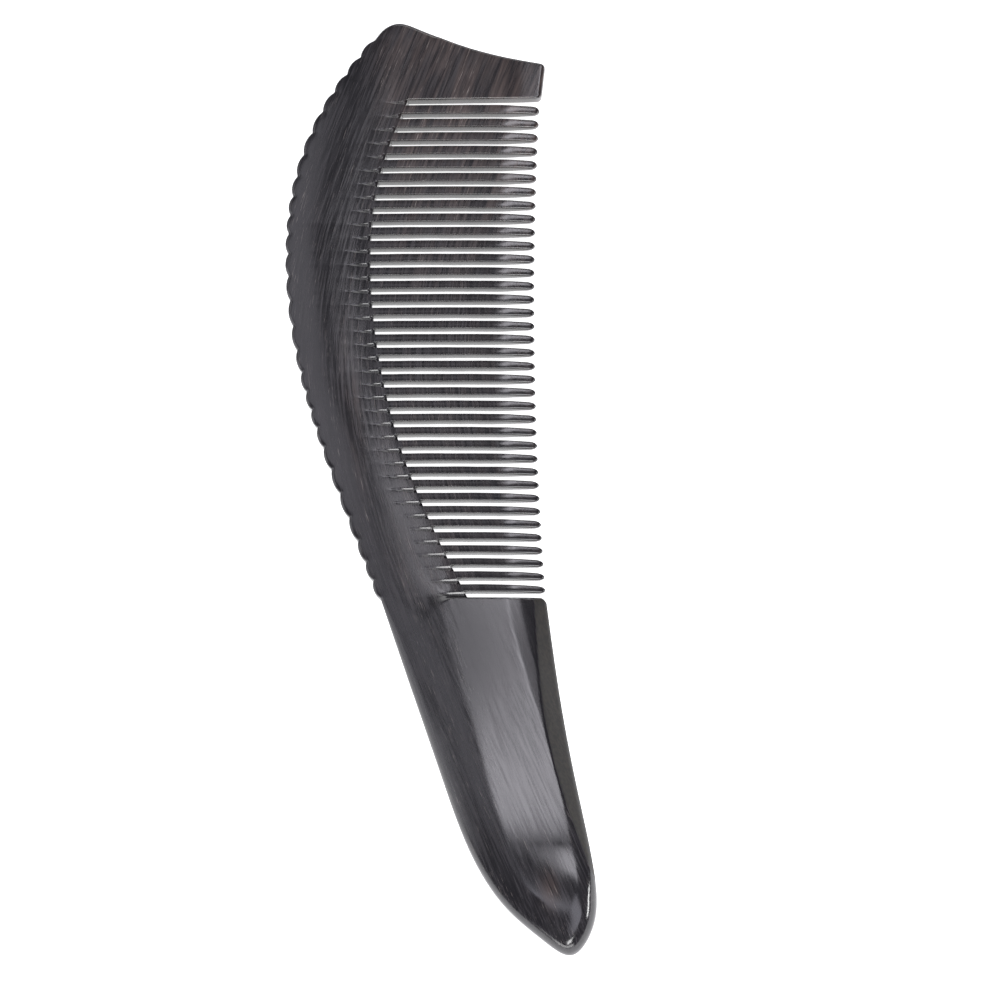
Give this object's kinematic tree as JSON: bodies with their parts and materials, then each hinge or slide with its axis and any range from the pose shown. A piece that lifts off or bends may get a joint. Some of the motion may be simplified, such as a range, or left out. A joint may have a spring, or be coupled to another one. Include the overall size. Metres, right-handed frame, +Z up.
{
  "type": "hair and beard comb",
  "caption": "Whole-horn comb with a scalloped back, a row of long bullet-pointed teeth closed by a solid end guard, and a thick handle with a thumb scoop.",
  "frame": {"origin": "on the surface that the comb lies on, under the middle of its box", "axes": "+Z up through the comb's thickness, +Y along it from the tip of the handle to the head, +X from the scalloped back to the points of the teeth"},
  "size_m": [0.0589, 0.1801, 0.0086],
  "materials": {
    "polished_horn": "polished black horn with faint grey and brown streaks along its grain"
  },
  "bodies": {
    "root": {"back": "polished_horn", "head_guard": "polished_horn", "handle": "polished_horn", "tooth_01": "polished_horn", "tooth_02": "polished_horn", "tooth_03": "polished_horn", "tooth_04": "polished_horn", "tooth_05": "polished_horn", "tooth_06": "polished_horn", "tooth_07": "polished_horn", "tooth_08": "polished_horn", "tooth_09": "polished_horn", "tooth_10": "polished_horn", "tooth_11": "polished_horn", "tooth_12": "polished_horn", "tooth_13": "polished_horn", "tooth_14": "polished_horn", "tooth_15": "polished_horn", "tooth_16": "polished_horn", "tooth_17": "polished_horn", "tooth_18": "polished_horn", "tooth_19": "polished_horn", "tooth_20": "polished_horn", "tooth_21": "polished_horn", "tooth_22": "polished_horn", "tooth_23": "polished_horn", "tooth_24": "polished_horn", "tooth_25": "polished_horn", "tooth_26": "polished_horn", "tooth_27": "polished_horn", "tooth_28": "polished_horn", "tooth_29": "polished_horn", "tooth_30": "polished_horn", "tooth_31": "polished_horn", "tooth_32": "polished_horn", "tooth_33": "polished_horn", "tooth_34": "polished_horn", "tooth_35": "polished_horn", "tooth_36": "polished_horn", "tooth_37": "polished_horn"}
  },
  "joints": []
}
